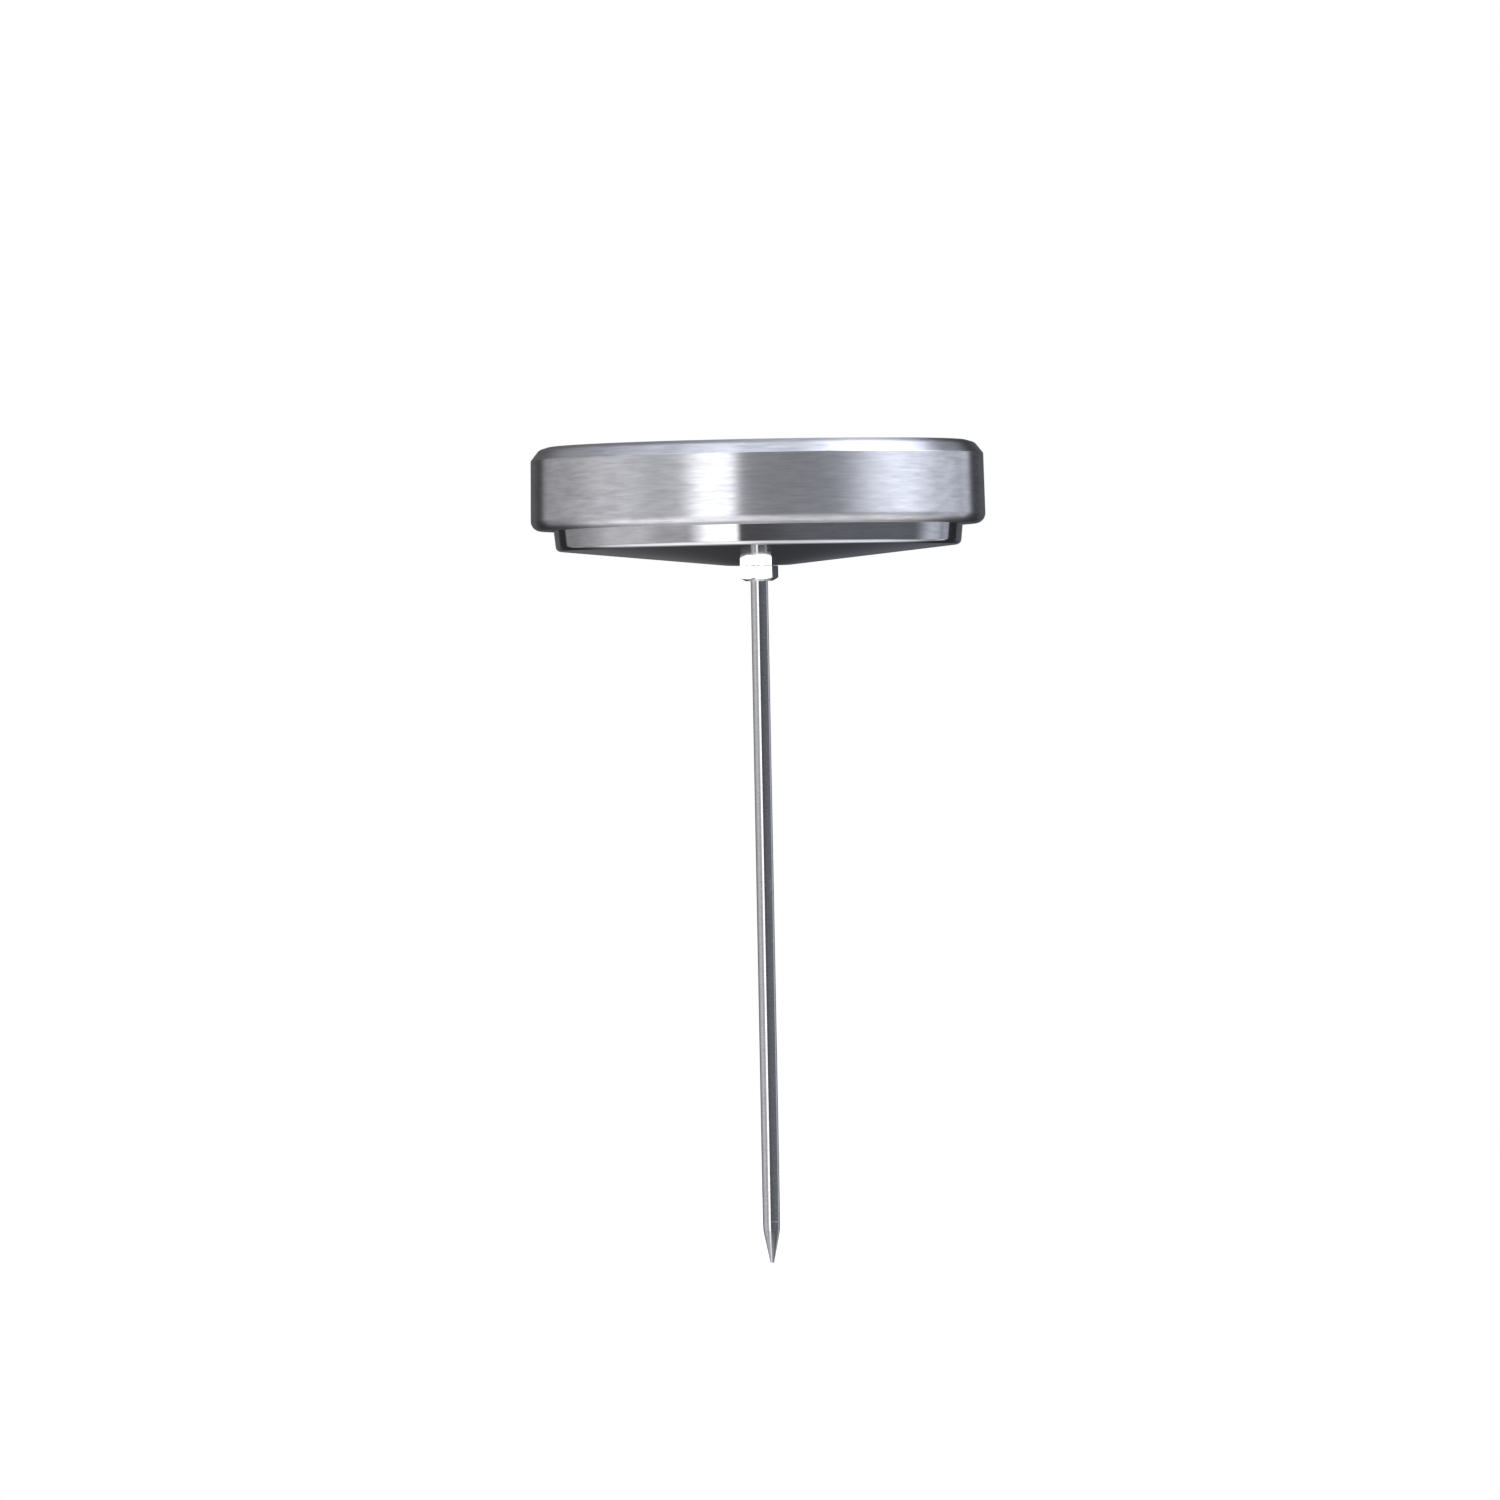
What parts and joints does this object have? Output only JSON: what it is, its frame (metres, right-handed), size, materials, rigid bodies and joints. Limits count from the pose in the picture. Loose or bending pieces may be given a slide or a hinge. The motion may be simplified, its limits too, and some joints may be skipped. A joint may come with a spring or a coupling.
{
  "type": "meat thermometer",
  "caption": "Round dial meat thermometer: a brushed steel head with a glass window and red pointer on a thin pointed probe stem, adjusted by turning the head on a hex nut.",
  "frame": {"origin": "on the stem's axis, at the underside of the calibration nut", "axes": "+Z along the stem, out of the dial's face; the pointed stem runs down -Z; +Y is the dial's twelve o'clock and +X its three o'clock"},
  "size_m": [0.0762, 0.0762, 0.1372],
  "materials": {
    "bezel_steel": "stainless sheet, fine brushing round the rim",
    "case_steel": "stainless sheet, bright, faint turning marks",
    "nut_steel": "bright plated, satin",
    "stem_steel": "bright drawn stainless tube",
    "seal_rubber": "matt black",
    "lens_glass": "clear flat glass",
    "ring_aluminium": "pressed, satin",
    "dial_paint": "matt charcoal with white scale printing",
    "pointer_paint": "satin red",
    "hub_metal": "turned, bright",
    "spring_steel": "hardened, satin",
    "bush_brass": "turned",
    "bimetal": "rolled bimetal strip",
    "scale_ink": "white printing on the dial",
    "number_ink": "dark grey numbers printed on the bezel"
  },
  "bodies": {
    "stem": {"hex_nut": "nut_steel", "hub_retainer": "spring_steel", "stem_tube": "stem_steel", "stem_tip": "stem_steel", "upper_bush": "bush_brass", "middle_guide": "bush_brass", "lower_guide": "bush_brass", "bimetal_helix": "bimetal", "helix_anchor": "spring_steel"},
    "head": {"bezel_ring": "bezel_steel", "case_back": "case_steel", "rim_gasket": "seal_rubber", "dial_support_ring": "ring_aluminium", "dial_plate": "dial_paint", "lens_spacer_ring": "ring_aluminium", "lens": "lens_glass", "lens_gasket": "seal_rubber", "friction_washer": "spring_steel"},
    "pointer": {"pointer": "pointer_paint", "pointer_hub": "hub_metal", "pointer_shaft": "spring_steel", "helix_collar": "bush_brass"}
  },
  "joints": [
    {"name": "calibration_turn", "type": "hinge", "parent": "stem", "child": "head", "pos_m": [0, 0, 0], "axis": [0, 0, 1], "continuous": true},
    {"name": "needle_turn", "type": "hinge", "parent": "stem", "child": "pointer", "pos_m": [0, 0, 0], "axis": [0, 0, -1], "range_deg": [-150, 175], "stiffness_Nm_per_rad": 0.0015, "deforming": ["bimetal_helix"]}
  ]
}
